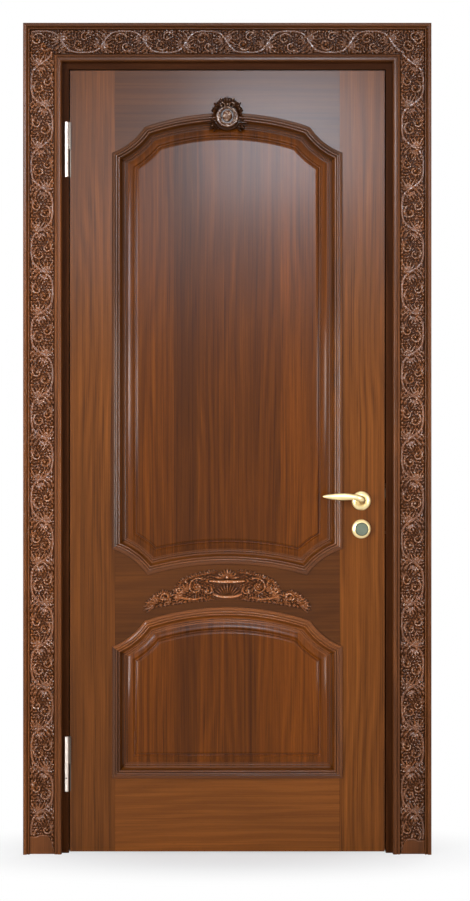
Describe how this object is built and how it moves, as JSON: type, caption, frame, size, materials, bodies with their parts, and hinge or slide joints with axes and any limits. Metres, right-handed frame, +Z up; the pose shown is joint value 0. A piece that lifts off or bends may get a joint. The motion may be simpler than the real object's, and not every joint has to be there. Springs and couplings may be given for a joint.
{
  "type": "panelled timber door with frame",
  "caption": "Brown timber door leaf with arched raised panels, bolection mouldings and carved crest, hung in a rebated frame with carved casing, lever handles and a turn bolt.",
  "frame": {"origin": "floor level, middle of the leaf's width and of its thickness", "axes": "+Z up, +X towards the lock side as seen from the front, -Y towards the front (the side with the carving and the turn knob, to which the leaf opens)"},
  "size_m": [1.042, 0.1672, 2.122],
  "materials": {
    "frame_wood": "dark brown lacquered timber, semi-gloss",
    "casing_wood": "carved brown lacquered timber, semi-gloss with dark recesses",
    "leaf_wood": "walnut-brown lacquered timber, semi-gloss",
    "panel_wood": "walnut-brown lacquered timber in vertical staves, semi-gloss",
    "moulding_wood": "brown lacquered moulding, semi-gloss",
    "carved_wood": "carved brown lacquered timber, semi-gloss with dark recesses",
    "polished_brass": "polished brass",
    "hinge_metal": "satin nickel-plated steel",
    "lock_steel": "zinc-plated steel",
    "knob_metal": "satin grey metal",
    "seal": "dark brown sealing strip"
  },
  "bodies": {
    "frame": {"hinge_jamb": "frame_wood", "lock_jamb": "frame_wood", "head_jamb": "frame_wood", "frame_seal": "seal", "strike_plate": "polished_brass", "casing_left": "casing_wood", "casing_right": "casing_wood", "casing_head": "casing_wood", "upper_hinge_jamb_half": "hinge_metal", "upper_hinge_pin": "lock_steel", "lower_hinge_jamb_half": "hinge_metal", "lower_hinge_pin": "lock_steel"},
    "leaf": {"hinge_stile": "leaf_wood", "lock_stile": "leaf_wood", "top_rail": "leaf_wood", "lock_rail": "leaf_wood", "bottom_rail": "leaf_wood", "upper_panel": "panel_wood", "lower_panel": "panel_wood", "upper_head_front": "moulding_wood", "upper_left_front": "moulding_wood", "upper_right_front": "moulding_wood", "upper_foot_front": "moulding_wood", "lower_head_front": "moulding_wood", "lower_left_front": "moulding_wood", "lower_right_front": "moulding_wood", "lower_foot_front": "moulding_wood", "upper_head_rear": "moulding_wood", "upper_left_rear": "moulding_wood", "upper_right_rear": "moulding_wood", "upper_foot_rear": "moulding_wood", "lower_head_rear": "moulding_wood", "lower_left_rear": "moulding_wood", "lower_right_rear": "moulding_wood", "lower_foot_rear": "moulding_wood", "crest": "carved_wood", "rail_carving": "carved_wood", "upper_hinge_leaf_half": "hinge_metal", "lower_hinge_leaf_half": "hinge_metal", "lock_case": "lock_steel", "faceplate": "polished_brass", "front_lever_rose": "polished_brass", "rear_lever_rose": "polished_brass", "front_turn_rose": "polished_brass", "rear_turn_rose": "polished_brass"},
    "handle": {"front_lever": "polished_brass", "rear_lever": "polished_brass", "square_spindle": "lock_steel", "lever_follower": "lock_steel"},
    "latch": {"latch_bolt": "polished_brass"},
    "turn": {"turn_knob": "knob_metal", "release_disc": "polished_brass", "turn_spindle": "lock_steel", "turn_follower": "lock_steel"},
    "bolt": {"dead_bolt": "polished_brass"}
  },
  "joints": [
    {"name": "leaf_swing", "type": "hinge", "parent": "frame", "child": "leaf", "pos_m": [-0.4115, -0.0285, 0], "axis": [0, 0, -1], "range_deg": [0, 120]},
    {"name": "lever_turn", "type": "hinge", "parent": "leaf", "child": "handle", "pos_m": [0.343, 0, 0.902], "axis": [0, -1, 0], "range_deg": [0, 40], "stiffness_Nm_per_rad": 1.5, "springref_deg": -22.92},
    {"name": "latch_slide", "type": "slide", "parent": "leaf", "child": "latch", "axis": [-1, 0, 0], "range_m": [0, 0.0123]},
    {"name": "knob_turn", "type": "hinge", "parent": "leaf", "child": "turn", "pos_m": [0.343, 0, 0.83], "axis": [0, 1, 0], "range_deg": [0, 90]},
    {"name": "bolt_slide", "type": "slide", "parent": "leaf", "child": "bolt", "axis": [1, 0, 0], "range_m": [0, 0.0201]}
  ],
  "couplings": [
    {"joint": "latch_slide", "follows": "lever_turn", "m_per_rad": 0.0175},
    {"joint": "bolt_slide", "follows": "knob_turn", "m_per_rad": 0.012732}
  ]
}
